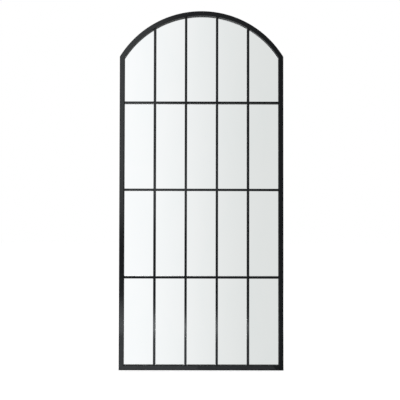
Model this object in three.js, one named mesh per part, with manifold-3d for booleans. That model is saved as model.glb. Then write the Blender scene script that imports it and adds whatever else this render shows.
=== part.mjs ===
// Arched window mirror, 1.8 m tall: a welded black steel frame with a segmental arch head,
// a grid of glazing bars in front of one arched sheet of mirror, and a backing board behind
// it, held by turn buttons. It hangs on two D-rings, or leans on a wall on rubber bumpers.
//
// Millimetres. +X is to the right as the viewer faces the mirror, -Y is the front, +Z is up.
// The origin is on the centre line at the underside of the bottom rail, half way between the
// front of the frame and the wall.

import * as THREE from "three";
import { mergeVertices } from "three/addons/utils/BufferGeometryUtils.js";
import Module from "manifold-3d";

// ---- Driving dimensions ------------------------------------------------------------------

// Outline
const HEIGHT = 1800;
const WIDTH = 822;
const ARCH_RISE = 230; // from the corners where the arch meets the stiles up to the crown

// Outer frame, rectangular steel tube
const FRAME_FACE = 23; // the width seen from the front
const FRAME_DEPTH = 28;
const FRAME_WALL = 1.5;
const FRAME_EDGE_RADIUS = 2;

// Glazing bars, square steel tube
const BAR_FACE = 12;
const BAR_DEPTH = 12;
const BAR_WALL = 1;
const BAR_EDGE_RADIUS = 1.2;
const PANE_COLUMNS = 5;
const PANE_ROWS = 4;

// Sheets behind the bars
const MIRROR_THICKNESS = 4;
const BOARD_THICKNESS = 6;
const SHEET_CLEARANCE = 1; // from a sheet's edge to the tube beside it

// Turn buttons that hold the backing board, and their pivot screws
const BUTTON_WIDTH = 12;
const BUTTON_THICKNESS = 1.5;
const BUTTON_LAP = 14; // how far a button reaches over the board
const BUTTON_LOWEST_Z = 220; // on the stiles
const BUTTON_TOP_DROP = 250; // from the arch corner down to the highest one on a stile
const BUTTON_PLAY = 0.3; // between a button and what it lies on

// Hangers: a strap with a rolled eye, and a D-ring of round wire that swings in it
const HANGER_DROP = 100; // from the arch corner down to the ring's pivot
const STRAP_WIDTH = 12;
const STRAP_THICKNESS = 1.2;
const STRAP_SCREW_PITCH = 12;
const EYE_END_ANGLE = -70; // degrees; the rolled eye stops short of the strap
const RING_WIRE_RADIUS = 1.25;
const RING_LEG = 4; // straight part of the ring's sides
const RING_CORNER_RADIUS = 2.5;
const RING_SPLIT = 0.6; // the butt of the bent wire, inside the eye
const RING_PLAY = 0.3; // between the wire and the eye
const RING_SIDE_PLAY = 1; // between the ring's sides and the strap
const RING_SCREW_CLEARANCE = 2.2; // from the hanging ring down to the first screw's head

// Screws, all of one size
const SCREW_RADIUS = 2;
const SCREW_LENGTH = 12; // below the head
const SCREW_TIP_RADIUS = 1;
const SCREW_TIP_LENGTH = 2;
const SCREW_HEAD_RADIUS = 3.8;
const SCREW_HEAD_HEIGHT = 2.2;
const SCREW_HEAD_RIM = 0.6; // upright edge of the head below its dome
const SCREW_PLAY = 0.25; // between a screw and its hole, and under the head of a pivot screw

// Rubber bumpers between the frame and the wall
const BUMPER_RADIUS = 8;
const BUMPER_FACE_RADIUS = 6.5;
const BUMPER_HEIGHT = 6;
const BUMPER_EDGE_RADIUS = 1;
const BUMPER_CORNER_DISTANCE = 45; // along the stile, from the corners of the frame

// Kept between tubes where one is cut to fit another
const WELD_GAP = 0.3;

// Fineness of curved faces
const ARCH_STEPS = 48;
const FRAME_EDGE_PIECES = 4;
const BAR_EDGE_PIECES = 2;
const ROUND_SIDES = 12;
const WIRE_SIDES = 10;
const RING_STEPS = 44;
const DOME_STEPS = 3;

// ---- Worked out from the driving dimensions ----------------------------------------------

const HALF_WIDTH = WIDTH / 2;
const SPRING_Z = HEIGHT - ARCH_RISE;
const ARCH_RADIUS = (HALF_WIDTH ** 2 + ARCH_RISE ** 2) / (2 * ARCH_RISE);
const ARCH_CENTRE_Z = HEIGHT - ARCH_RADIUS;
const ARCH_END_ANGLE = Math.asin(HALF_WIDTH / ARCH_RADIUS); // from the crown
const TUBE_LINE_RADIUS = ARCH_RADIUS - FRAME_FACE / 2;
const TUBE_LINE_X = HALF_WIDTH - FRAME_FACE / 2;
const DAYLIGHT_HALF_WIDTH = HALF_WIDTH - FRAME_FACE;
const DAYLIGHT_RADIUS = ARCH_RADIUS - FRAME_FACE;
const COLUMN_PITCH = (2 * DAYLIGHT_HALF_WIDTH + BAR_FACE / 2) / PANE_COLUMNS; // of the uprights

// Depths, from the front of the frame at 0 to the wall
const REAR_Y = FRAME_DEPTH;
const BOARD_Y = REAR_Y - BOARD_THICKNESS;
const MIRROR_Y = BOARD_Y - MIRROR_THICKNESS;
const BAR_Y = MIRROR_Y - BAR_DEPTH;
const WALL_Y = REAR_Y + BUMPER_HEIGHT;

const EYE_INNER_RADIUS = RING_WIRE_RADIUS + RING_PLAY;
const EYE_OUTER_RADIUS = EYE_INNER_RADIUS + STRAP_THICKNESS;
const PIVOT_Z = SPRING_Z - HANGER_DROP;
const RING_HALF_WIDTH = STRAP_WIDTH / 2 + RING_SIDE_PLAY + RING_WIRE_RADIUS;
const RING_DROP = RING_CORNER_RADIUS + RING_LEG + RING_HALF_WIDTH + RING_WIRE_RADIUS;
const FIRST_SCREW_DROP = RING_DROP + RING_SCREW_CLEARANCE + SCREW_HEAD_RADIUS;
const STRAP_SCREW_DROPS = [FIRST_SCREW_DROP, FIRST_SCREW_DROP + STRAP_SCREW_PITCH];
const STRAP_LENGTH = STRAP_SCREW_DROPS[1] + STRAP_WIDTH / 2; // from the pivot down

const SIDES = [
  { name: "left", sign: -1 },
  { name: "right", sign: 1 },
];

// ---- Materials ---------------------------------------------------------------------------

function powderCoat() {
  return new THREE.MeshStandardMaterial({ color: 0x2b2b2c, roughness: 0.55, metalness: 0.1 });
}

function silveredGlass() {
  return new THREE.MeshStandardMaterial({ color: 0xeef1f2, roughness: 0.03, metalness: 1 });
}

function fibreboard() {
  return new THREE.MeshStandardMaterial({ color: 0x8a6d4e, roughness: 0.9, metalness: 0 });
}

function zincPlate() {
  return new THREE.MeshStandardMaterial({ color: 0xb9bcc0, roughness: 0.35, metalness: 1 });
}

function rubber() {
  return new THREE.MeshStandardMaterial({ color: 0x1c1c1c, roughness: 0.8, metalness: 0 });
}

// ---- Joining and cutting solids ----------------------------------------------------------

const wasm = await Module();
wasm.setup();

function toSolid(geometry) {
  const bare = geometry.clone();
  bare.deleteAttribute("normal");
  bare.deleteAttribute("uv");
  const merged = mergeVertices(bare);
  const mesh = new wasm.Mesh({
    numProp: 3,
    vertProperties: new Float32Array(merged.attributes.position.array),
    triVerts: new Uint32Array(merged.index.array),
  });
  return new wasm.Manifold(mesh);
}

function toGeometry(solid) {
  const mesh = solid.getMesh();
  const geometry = new THREE.BufferGeometry();
  geometry.setAttribute("position", new THREE.BufferAttribute(mesh.vertProperties, 3));
  geometry.setIndex(new THREE.BufferAttribute(mesh.triVerts, 1));
  geometry.computeVertexNormals();
  return geometry;
}

function subtract(geometry, ...tools) {
  const left = tools.reduce((solid, tool) => solid.subtract(toSolid(tool)), toSolid(geometry));
  return toGeometry(left);
}

function intersect(geometry, tool) {
  return toGeometry(toSolid(geometry).intersect(toSolid(tool)));
}

// ---- Shared shapes -----------------------------------------------------------------------

// Turns a direction in the mirror's plane into the turn about Y that brings +X onto it.
function turnTo(dx, dz) {
  return Math.atan2(-dz, dx);
}

// Extrudes a flat shape along +Z, with each of its arcs in the given number of pieces: an
// arc gets two of them per curve segment.
function extrude(shape, depth, arcPieces) {
  return new THREE.ExtrudeGeometry(shape, {
    depth,
    bevelEnabled: false,
    curveSegments: arcPieces / 2,
  });
}

// A shape drawn as seen from the front, made into a plate whose front is at frontY.
function plate(shape, frontY, thickness, arcPieces) {
  const geometry = extrude(shape, thickness, arcPieces);
  geometry.rotateX(Math.PI / 2);
  geometry.translate(0, frontY + thickness, 0);
  return geometry;
}

// A tube or a wire of one section along a curve.
function sweep(section, curve, steps, arcPieces) {
  return new THREE.ExtrudeGeometry(section, {
    steps,
    extrudePath: curve,
    bevelEnabled: false,
    curveSegments: arcPieces / 2,
  });
}

function roundedRectangle(width, height, radius) {
  const x = width / 2 - radius;
  const y = height / 2 - radius;
  const quarter = Math.PI / 2;
  const outline = new THREE.Shape();
  outline.absarc(x, -y, radius, -quarter, 0);
  outline.absarc(x, y, radius, 0, quarter);
  outline.absarc(-x, y, radius, quarter, 2 * quarter);
  outline.absarc(-x, -y, radius, 2 * quarter, 3 * quarter);
  outline.closePath();
  return outline;
}

// A tube's section: a rounded rectangle with a square-cornered bore inside it.
function tubeSection(width, depth, wall, edgeRadius) {
  const x = width / 2 - wall;
  const y = depth / 2 - wall;
  const bore = new THREE.Path();
  bore.moveTo(-x, -y);
  bore.lineTo(-x, y);
  bore.lineTo(x, y);
  bore.lineTo(x, -y);
  bore.closePath();
  const section = roundedRectangle(width, depth, edgeRadius);
  section.holes.push(bore);
  return section;
}

// The outline of a sheet or of the daylight opening: straight sides and an arc on top.
function archedOutline(halfWidth, bottomZ, radius) {
  const endAngle = Math.asin(halfWidth / radius);
  const outline = new THREE.Shape();
  outline.moveTo(-halfWidth, bottomZ);
  outline.lineTo(halfWidth, bottomZ);
  outline.absarc(0, ARCH_CENTRE_Z, radius, Math.PI / 2 - endAngle, Math.PI / 2 + endAngle);
  outline.closePath();
  return outline;
}

// A strip with a round end at each of two points on its centre line, x = from and x = to.
function strip(from, to, width) {
  const radius = width / 2;
  const outline = new THREE.Shape();
  outline.absarc(from, 0, radius, Math.PI / 2, 1.5 * Math.PI);
  outline.absarc(to, 0, radius, -Math.PI / 2, Math.PI / 2);
  outline.closePath();
  return outline;
}

// A flat path, drawn as seen from the front, as a curve in the mirror's plane.
class UprightCurve extends THREE.Curve {
  constructor(path) {
    super();
    this.path = path;
  }

  getPoint(t, target = new THREE.Vector3()) {
    const point = this.path.getPoint(t);
    return target.set(point.x, 0, point.y);
  }
}

// A screw's clearance hole, as the round tool that makes it, centred on a point.
function drill(x, y, z, depth) {
  const radius = SCREW_RADIUS + SCREW_PLAY;
  const geometry = new THREE.CylinderGeometry(radius, radius, depth, ROUND_SIDES);
  geometry.translate(x, y, z);
  return geometry;
}

// A block that takes away what lies past the line from corner to corner, as seen from the
// piece's own point `keep`, and half a weld gap before it.
function mitreBlock(cornerA, cornerB, keep) {
  const size = 6 * FRAME_FACE;
  const along = new THREE.Vector2().subVectors(cornerB, cornerA).normalize();
  const away = new THREE.Vector2(-along.y, along.x);
  if (away.dot(new THREE.Vector2().subVectors(keep, cornerA)) > 0) {
    away.negate();
  }
  const centre = new THREE.Vector2().addVectors(cornerA, cornerB).multiplyScalar(0.5);
  centre.addScaledVector(away, (size - WELD_GAP) / 2);
  const block = new THREE.BoxGeometry(size, size, size);
  block.rotateY(turnTo(along.x, along.y));
  block.translate(centre.x, FRAME_DEPTH / 2, centre.y);
  return block;
}

// ---- Where things are --------------------------------------------------------------------

// The corners of the frame, as the outer and inner ends of each mitre.
function footMitre(sign) {
  return [
    new THREE.Vector2(sign * HALF_WIDTH, 0),
    new THREE.Vector2(sign * DAYLIGHT_HALF_WIDTH, FRAME_FACE),
  ];
}

function springMitre(sign) {
  const innerRise = Math.sqrt(DAYLIGHT_RADIUS ** 2 - DAYLIGHT_HALF_WIDTH ** 2);
  return [
    new THREE.Vector2(sign * HALF_WIDTH, SPRING_Z),
    new THREE.Vector2(sign * DAYLIGHT_HALF_WIDTH, ARCH_CENTRE_Z + innerRise),
  ];
}

// Centres of the bars. The cross bars divide the height of the daylight into equal steps, and
// the uprights stand a little wider than equal steps, as the thickness of a bar is shared out.
function columnX(index) {
  return COLUMN_PITCH * (index - PANE_COLUMNS / 2);
}

function rowZ(index) {
  const daylightHeight = HEIGHT - 2 * FRAME_FACE;
  return FRAME_FACE + (daylightHeight * index) / PANE_ROWS;
}

// Each turn button's pivot and the direction in which it reaches over the board.
function buttonPlaces() {
  const highestZ = SPRING_Z - BUTTON_TOP_DROP;
  const heights = {
    lower: BUTTON_LOWEST_Z,
    middle: (BUTTON_LOWEST_Z + highestZ) / 2,
    upper: highestZ,
  };
  const archAngle = ARCH_END_ANGLE / 2;
  const places = [];
  for (const { name, sign } of SIDES) {
    for (const [level, z] of Object.entries(heights)) {
      places.push({ name: `${name}_${level}`, x: sign * TUBE_LINE_X, z, dx: -sign, dz: 0 });
    }
    places.push({ name: `bottom_${name}`, x: (sign * HALF_WIDTH) / 2, z: FRAME_FACE / 2, dx: 0, dz: 1 });
    places.push({
      name: `arch_${name}`,
      x: sign * TUBE_LINE_RADIUS * Math.sin(archAngle),
      z: ARCH_CENTRE_Z + TUBE_LINE_RADIUS * Math.cos(archAngle),
      dx: -sign * Math.sin(archAngle),
      dz: -Math.cos(archAngle),
    });
  }
  return places;
}

function strapScrewPlaces(sign) {
  return STRAP_SCREW_DROPS.map((drop) => ({ x: sign * TUBE_LINE_X, z: PIVOT_Z - drop }));
}

// ---- Outer frame -------------------------------------------------------------------------

function frameTube(length) {
  const section = tubeSection(FRAME_FACE, FRAME_DEPTH, FRAME_WALL, FRAME_EDGE_RADIUS);
  return extrude(section, length, FRAME_EDGE_PIECES);
}

// Pilot holes in the tube's rear wall.
function rearDrills(places) {
  return places.map(({ x, z }) => drill(x, REAR_Y, z, 4 * FRAME_WALL));
}

function buttonsNamed(start) {
  return buttonPlaces().filter(({ name }) => name.startsWith(start));
}

function stile(side) {
  const geometry = frameTube(SPRING_Z + FRAME_FACE);
  geometry.translate(side.sign * TUBE_LINE_X, FRAME_DEPTH / 2, 0);
  const keep = new THREE.Vector2(side.sign * TUBE_LINE_X, SPRING_Z / 2);
  return subtract(
    geometry,
    mitreBlock(...footMitre(side.sign), keep),
    mitreBlock(...springMitre(side.sign), keep),
    ...rearDrills([...buttonsNamed(side.name), ...strapScrewPlaces(side.sign)]),
  );
}

function bottomRail() {
  const geometry = frameTube(WIDTH);
  geometry.rotateY(Math.PI / 2);
  geometry.translate(-HALF_WIDTH, FRAME_DEPTH / 2, FRAME_FACE / 2);
  const keep = new THREE.Vector2(0, FRAME_FACE / 2);
  const mitres = SIDES.map(({ sign }) => mitreBlock(...footMitre(sign), keep));
  return subtract(geometry, ...mitres, ...rearDrills(buttonsNamed("bottom")));
}

// The rolled head: the frame's tube on an arc, a little long, then cut to the mitres.
function archHead() {
  const overrun = FRAME_FACE / ARCH_RADIUS;
  const startAngle = Math.PI / 2 - ARCH_END_ANGLE - overrun;
  const endAngle = Math.PI / 2 + ARCH_END_ANGLE + overrun;
  const line = new THREE.Path();
  line.absarc(0, ARCH_CENTRE_Z, TUBE_LINE_RADIUS, startAngle, endAngle);
  const section = tubeSection(FRAME_DEPTH, FRAME_FACE, FRAME_WALL, FRAME_EDGE_RADIUS);
  const geometry = sweep(section, new UprightCurve(line), ARCH_STEPS, FRAME_EDGE_PIECES);
  geometry.translate(0, FRAME_DEPTH / 2, 0);
  const keep = new THREE.Vector2(0, ARCH_CENTRE_Z + TUBE_LINE_RADIUS);
  const mitres = SIDES.map(({ sign }) => mitreBlock(...springMitre(sign), keep));
  return subtract(geometry, ...mitres, ...rearDrills(buttonsNamed("arch")));
}

// ---- Glazing bars ------------------------------------------------------------------------

function barTube(length) {
  const section = tubeSection(BAR_FACE, BAR_DEPTH, BAR_WALL, BAR_EDGE_RADIUS);
  return extrude(section, length, BAR_EDGE_PIECES);
}

// A full-height bar that stands on the bottom rail, its top scribed to the arch.
function verticalBar(index) {
  const geometry = barTube(HEIGHT - 2 * FRAME_FACE);
  geometry.translate(columnX(index), BAR_Y + BAR_DEPTH / 2, FRAME_FACE);
  const daylight = archedOutline(DAYLIGHT_HALF_WIDTH, 0, DAYLIGHT_RADIUS - WELD_GAP);
  return intersect(geometry, plate(daylight, BAR_Y - BAR_DEPTH, 3 * BAR_DEPTH, ARCH_STEPS));
}

// A short bar between two uprights, butted against their sides.
function crossBar(column, row) {
  const leftX = column === 0 ? -DAYLIGHT_HALF_WIDTH : columnX(column) + BAR_FACE / 2;
  const lastColumn = PANE_COLUMNS - 1;
  const rightX = column === lastColumn ? DAYLIGHT_HALF_WIDTH : columnX(column + 1) - BAR_FACE / 2;
  const geometry = barTube(rightX - leftX);
  geometry.rotateY(Math.PI / 2);
  geometry.translate(leftX, BAR_Y + BAR_DEPTH / 2, rowZ(row));
  return geometry;
}

// ---- Sheets ------------------------------------------------------------------------------

// Both sheets stand on the bottom rail and clear the other tubes.
function sheet(frontY, thickness) {
  const halfWidth = DAYLIGHT_HALF_WIDTH - SHEET_CLEARANCE;
  const outline = archedOutline(halfWidth, FRAME_FACE, DAYLIGHT_RADIUS - SHEET_CLEARANCE);
  return plate(outline, frontY, thickness, ARCH_STEPS);
}

// ---- Fastenings --------------------------------------------------------------------------

// A round-headed screw that points to -Y, with the underside of its head at the origin.
function screw() {
  const profile = [
    new THREE.Vector2(0, -SCREW_LENGTH),
    new THREE.Vector2(SCREW_TIP_RADIUS, -SCREW_LENGTH),
    new THREE.Vector2(SCREW_RADIUS, -SCREW_LENGTH + SCREW_TIP_LENGTH),
    new THREE.Vector2(SCREW_RADIUS, 0),
    new THREE.Vector2(SCREW_HEAD_RADIUS, 0),
  ];
  for (let step = 0; step < DOME_STEPS; step += 1) {
    const angle = (step / DOME_STEPS) * (Math.PI / 2);
    const rise = (SCREW_HEAD_HEIGHT - SCREW_HEAD_RIM) * Math.sin(angle);
    profile.push(new THREE.Vector2(SCREW_HEAD_RADIUS * Math.cos(angle), SCREW_HEAD_RIM + rise));
  }
  profile.push(new THREE.Vector2(0, SCREW_HEAD_HEIGHT));
  return new THREE.LatheGeometry(profile, ROUND_SIDES);
}

// A flat turn button that reaches to +X from the pivot hole at the origin.
function turnButton() {
  const tip = FRAME_FACE / 2 + SHEET_CLEARANCE + BUTTON_LAP;
  const outline = strip(0, tip - BUTTON_WIDTH / 2, BUTTON_WIDTH);
  const hole = new THREE.Path();
  hole.absarc(0, 0, SCREW_RADIUS + SCREW_PLAY, 0, 2 * Math.PI);
  outline.holes.push(hole);
  return plate(outline, 0, BUTTON_THICKNESS, ROUND_SIDES);
}

// The hanger's strap lies on y = 0 and hangs down from the eye, whose centre is at z = 0.
function hangerStrap() {
  const endAngle = THREE.MathUtils.degToRad(EYE_END_ANGLE);
  const profile = new THREE.Shape();
  profile.moveTo(0, -STRAP_LENGTH);
  profile.lineTo(0, 0);
  profile.absarc(EYE_OUTER_RADIUS, 0, EYE_OUTER_RADIUS, Math.PI, endAngle, true);
  profile.absarc(EYE_OUTER_RADIUS, 0, EYE_INNER_RADIUS, endAngle, Math.PI, false);
  profile.lineTo(STRAP_THICKNESS, -STRAP_LENGTH);
  profile.closePath();

  // The profile is drawn in depth and height, so it is turned to be extruded along X.
  const rolled = extrude(profile, STRAP_WIDTH, ROUND_SIDES);
  const depth = new THREE.Vector3(0, 1, 0);
  const height = new THREE.Vector3(0, 0, 1);
  const across = new THREE.Vector3(1, 0, 0);
  rolled.applyMatrix4(new THREE.Matrix4().makeBasis(depth, height, across));
  rolled.translate(-STRAP_WIDTH / 2, 0, 0);

  const outline = strip(-STRAP_WIDTH, STRAP_LENGTH - STRAP_WIDTH / 2, STRAP_WIDTH);
  const blank = plate(outline, -STRAP_THICKNESS, 4 * EYE_OUTER_RADIUS, ROUND_SIDES);
  blank.rotateY(turnTo(0, -1));
  const holes = STRAP_SCREW_DROPS.map((drop) => drill(0, 0, -drop, 4 * STRAP_THICKNESS));
  return subtract(intersect(rolled, blank), ...holes);
}

// The D-ring hangs below its straight side, which lies along X through the origin.
function hangerRing() {
  const halfWidth = RING_HALF_WIDTH;
  const corner = RING_CORNER_RADIUS;
  const line = new THREE.Path();
  line.moveTo(RING_SPLIT / 2, 0);
  line.lineTo(halfWidth - corner, 0);
  line.absarc(halfWidth - corner, -corner, corner, Math.PI / 2, 0, true);
  line.lineTo(halfWidth, -corner - RING_LEG);
  line.absarc(0, -corner - RING_LEG, halfWidth, 0, -Math.PI, true);
  line.lineTo(-halfWidth, -corner);
  line.absarc(-halfWidth + corner, -corner, corner, Math.PI, Math.PI / 2, true);
  line.lineTo(-RING_SPLIT / 2, 0);
  const wire = new THREE.Shape();
  wire.absarc(0, 0, RING_WIRE_RADIUS, 0, 2 * Math.PI);
  return sweep(wire, new UprightCurve(line), RING_STEPS, WIRE_SIDES);
}

// A tapered pad with a flat face, its base on y = 0.
function bumper() {
  const profile = [new THREE.Vector2(0, 0), new THREE.Vector2(BUMPER_RADIUS, 0)];
  for (let step = 0; step <= DOME_STEPS; step += 1) {
    const angle = (step / DOME_STEPS) * (Math.PI / 2);
    const x = BUMPER_FACE_RADIUS + BUMPER_EDGE_RADIUS * Math.cos(angle);
    const y = BUMPER_HEIGHT - BUMPER_EDGE_RADIUS * (1 - Math.sin(angle));
    profile.push(new THREE.Vector2(x, y));
  }
  profile.push(new THREE.Vector2(0, BUMPER_HEIGHT));
  return new THREE.LatheGeometry(profile, ROUND_SIDES);
}

// ---- Assembly ----------------------------------------------------------------------------

const mirror = new THREE.Group();
mirror.position.y = -WALL_Y / 2;

function add(name, geometry, material, x = 0, y = 0, z = 0) {
  const mesh = new THREE.Mesh(geometry, material);
  mesh.name = name;
  mesh.position.set(x, y, z);
  mirror.add(mesh);
  return mesh;
}

function addFrame() {
  for (const side of SIDES) {
    add(`${side.name}_stile`, stile(side), powderCoat());
  }
  add("bottom_rail", bottomRail(), powderCoat());
  add("arch_head", archHead(), powderCoat());
}

// Uprights are numbered from the left, and cross bars by row from the bottom.
function addBars() {
  for (let index = 1; index < PANE_COLUMNS; index += 1) {
    add(`upright_bar_${index}`, verticalBar(index), powderCoat());
  }
  for (let row = 1; row < PANE_ROWS; row += 1) {
    for (let column = 0; column < PANE_COLUMNS; column += 1) {
      add(`cross_bar_row${row}_${column + 1}`, crossBar(column, row), powderCoat());
    }
  }
}

function addSheets() {
  add("mirror_glass", sheet(MIRROR_Y, MIRROR_THICKNESS), silveredGlass());
  add("backing_board", sheet(BOARD_Y, BOARD_THICKNESS), fibreboard());
}

function addTurnButtons() {
  const buttonY = REAR_Y + BUTTON_PLAY;
  const headY = buttonY + BUTTON_THICKNESS + SCREW_PLAY;
  for (const { name, x, z, dx, dz } of buttonPlaces()) {
    const button = add(`turn_button_${name}`, turnButton(), zincPlate(), x, buttonY, z);
    button.rotation.y = turnTo(dx, dz);
    add(`pivot_screw_${name}`, screw(), zincPlate(), x, headY, z);
  }
}

function addHangers() {
  for (const { name, sign } of SIDES) {
    const x = sign * TUBE_LINE_X;
    add(`hanger_strap_${name}`, hangerStrap(), zincPlate(), x, REAR_Y, PIVOT_Z);
    add(`hanger_ring_${name}`, hangerRing(), zincPlate(), x, REAR_Y + EYE_OUTER_RADIUS, PIVOT_Z);
    strapScrewPlaces(sign).forEach((place, index) => {
      const screwName = `strap_screw_${name}_${index + 1}`;
      add(screwName, screw(), zincPlate(), place.x, REAR_Y + STRAP_THICKNESS, place.z);
    });
  }
}

function addBumpers() {
  const heights = { lower: BUMPER_CORNER_DISTANCE, upper: SPRING_Z - BUMPER_CORNER_DISTANCE };
  for (const { name, sign } of SIDES) {
    for (const [level, z] of Object.entries(heights)) {
      add(`wall_bumper_${name}_${level}`, bumper(), rubber(), sign * TUBE_LINE_X, REAR_Y, z);
    }
  }
}

addFrame();
addBars();
addSheets();
addTurnButtons();
addHangers();
addBumpers();

export default mirror;
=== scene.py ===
"""Looks of the arched window mirror: a welded, black powder-coated steel frame with a rolled
arch head and glazing bars, one sheet of mirror, a fibreboard back held by turn buttons, two
D-ring hangers and four rubber bumpers.

Metres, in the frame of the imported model: +X right, -Y front, +Z up.
"""

from math import asin, atan2, copysign, cos, pi, radians, sin, sqrt

import bmesh
import bpy
from mathutils import Matrix, Vector


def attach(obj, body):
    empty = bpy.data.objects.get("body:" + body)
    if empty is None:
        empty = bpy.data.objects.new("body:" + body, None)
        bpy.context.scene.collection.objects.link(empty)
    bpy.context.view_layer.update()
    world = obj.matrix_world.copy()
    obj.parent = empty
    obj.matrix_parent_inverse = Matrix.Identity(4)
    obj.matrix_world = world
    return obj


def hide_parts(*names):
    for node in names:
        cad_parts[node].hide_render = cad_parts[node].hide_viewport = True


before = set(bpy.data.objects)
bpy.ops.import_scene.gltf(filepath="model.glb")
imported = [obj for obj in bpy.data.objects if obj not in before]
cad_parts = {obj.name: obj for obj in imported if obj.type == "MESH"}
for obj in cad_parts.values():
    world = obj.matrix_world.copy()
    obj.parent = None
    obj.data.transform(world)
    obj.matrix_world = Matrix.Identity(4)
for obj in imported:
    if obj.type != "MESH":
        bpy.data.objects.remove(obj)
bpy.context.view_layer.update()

MM = 0.001

# ---- Sizes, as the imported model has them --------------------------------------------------

HEIGHT = 1800 * MM
WIDTH = 822 * MM
ARCH_RISE = 230 * MM
FRAME_FACE = 23 * MM
FRAME_DEPTH = 28 * MM
FRAME_WALL = 1.5 * MM
FRAME_EDGE_RADIUS = 2 * MM
BAR_FACE = 12 * MM
BAR_DEPTH = 12 * MM
BAR_WALL = 1 * MM
BAR_EDGE_RADIUS = 1.2 * MM
PANE_COLUMNS = 5
PANE_ROWS = 4
MIRROR_THICKNESS = 4 * MM
BOARD_THICKNESS = 6 * MM
SHEET_CLEARANCE = 1 * MM
BUTTON_WIDTH = 12 * MM
BUTTON_THICKNESS = 1.5 * MM
BUTTON_LAP = 14 * MM
BUTTON_LOWEST_Z = 220 * MM
BUTTON_TOP_DROP = 250 * MM
BUTTON_PLAY = 0.3 * MM
HANGER_DROP = 100 * MM
STRAP_WIDTH = 12 * MM
STRAP_THICKNESS = 1.2 * MM
STRAP_SCREW_PITCH = 12 * MM
EYE_END_ANGLE = radians(-70)
RING_WIRE_RADIUS = 1.25 * MM
RING_LEG = 4 * MM
RING_CORNER_RADIUS = 2.5 * MM
RING_SPLIT = 0.6 * MM
RING_PLAY = 0.3 * MM
RING_SIDE_PLAY = 1 * MM
RING_SCREW_CLEARANCE = 2.2 * MM
SCREW_RADIUS = 2 * MM
SCREW_LENGTH = 12 * MM
SCREW_TIP_RADIUS = 1 * MM
SCREW_TIP_LENGTH = 2 * MM
SCREW_HEAD_RADIUS = 3.8 * MM
SCREW_HEAD_HEIGHT = 2.2 * MM
SCREW_HEAD_RIM = 0.6 * MM
SCREW_PLAY = 0.25 * MM
BUMPER_RADIUS = 8 * MM
BUMPER_FACE_RADIUS = 6.5 * MM
BUMPER_HEIGHT = 6 * MM
BUMPER_EDGE_RADIUS = 1 * MM
BUMPER_CORNER_DISTANCE = 45 * MM

HALF_WIDTH = WIDTH / 2
SPRING_Z = HEIGHT - ARCH_RISE
ARCH_RADIUS = (HALF_WIDTH**2 + ARCH_RISE**2) / (2 * ARCH_RISE)
ARCH_CENTRE_Z = HEIGHT - ARCH_RADIUS
ARCH_END_ANGLE = asin(HALF_WIDTH / ARCH_RADIUS)
TUBE_LINE_RADIUS = ARCH_RADIUS - FRAME_FACE / 2
TUBE_LINE_X = HALF_WIDTH - FRAME_FACE / 2
DAYLIGHT_HALF_WIDTH = HALF_WIDTH - FRAME_FACE
DAYLIGHT_RADIUS = ARCH_RADIUS - FRAME_FACE
INNER_SPRING_Z = ARCH_CENTRE_Z + sqrt(DAYLIGHT_RADIUS**2 - DAYLIGHT_HALF_WIDTH**2)
COLUMN_PITCH = (2 * DAYLIGHT_HALF_WIDTH + BAR_FACE / 2) / PANE_COLUMNS

FRONT_Y = -(FRAME_DEPTH + BUMPER_HEIGHT) / 2
REAR_Y = FRONT_Y + FRAME_DEPTH
BOARD_Y = REAR_Y - BOARD_THICKNESS
MIRROR_Y = BOARD_Y - MIRROR_THICKNESS
BAR_Y = MIRROR_Y - BAR_DEPTH
FRAME_MID_Y = FRONT_Y + FRAME_DEPTH / 2
BAR_MID_Y = BAR_Y + BAR_DEPTH / 2

EYE_INNER_RADIUS = RING_WIRE_RADIUS + RING_PLAY
EYE_OUTER_RADIUS = EYE_INNER_RADIUS + STRAP_THICKNESS
PIVOT_Z = SPRING_Z - HANGER_DROP
RING_HALF_WIDTH = STRAP_WIDTH / 2 + RING_SIDE_PLAY + RING_WIRE_RADIUS
RING_DROP = RING_CORNER_RADIUS + RING_LEG + RING_HALF_WIDTH + RING_WIRE_RADIUS
FIRST_SCREW_DROP = RING_DROP + RING_SCREW_CLEARANCE + SCREW_HEAD_RADIUS
STRAP_SCREW_DROPS = (FIRST_SCREW_DROP, FIRST_SCREW_DROP + STRAP_SCREW_PITCH)
STRAP_LENGTH = STRAP_SCREW_DROPS[1] + STRAP_WIDTH / 2

SIDES = {"left": -1, "right": 1}

# Small things that only the looks have
WELD_RADIUS = 1.3 * MM
WELD_PIECES = 5
WELD_SINK = 0.05 * MM  # how far a bar's end goes into its weld
CROSS_BAR_SINK = 0.95 * BAR_EDGE_RADIUS  # how far one runs into an upright's rounded edge
GROUND_EDGE = 0.12 * MM  # the hairline left along a ground mitre
BEAD_RISE = 0.7 * MM  # how far the glazing bead climbs up the tube
BEAD_SPARE = 3 * SHEET_CLEARANCE  # made below the rail's top, then cut off
GLASS_ARRIS = 0.4 * MM
BOARD_ROUNDING = 0.5 * MM
THREAD_PITCH = 0.8 * MM
THREAD_ROOT_RADIUS = 0.78 * SCREW_RADIUS
THREAD_RUN_OUT = 0.2 * THREAD_PITCH
SCREW_NECK_RADIUS = 0.9 * SCREW_RADIUS
SCREW_POINT_RADIUS = 0.6 * SCREW_TIP_RADIUS
SCREW_HEAD_EDGE = 0.15 * MM
RECESS_CUTTER = (4.2 * MM, 2.4 * MM, 0.75 * MM)  # one wing's length, height and width
RECESS_TAPER = (0.35, 1, 0.7)  # its floor, as a share of its mouth
RECESS_DEPTH = 1.4 * MM
PIVOT_SCREW_TURNS = (37, 61)  # degrees: where the recesses start, and the step between them
STRAP_SCREW_TURNS = (23, 49)
BUTTON_EDGE = 0.25 * MM
STRAP_EDGE = 0.18 * MM
STRAP_END_FLAT = 0.05 * MM  # left straight, each side of the middle of its rounded end
BUMPER_DISH_DEPTH = 0.35 * MM
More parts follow.
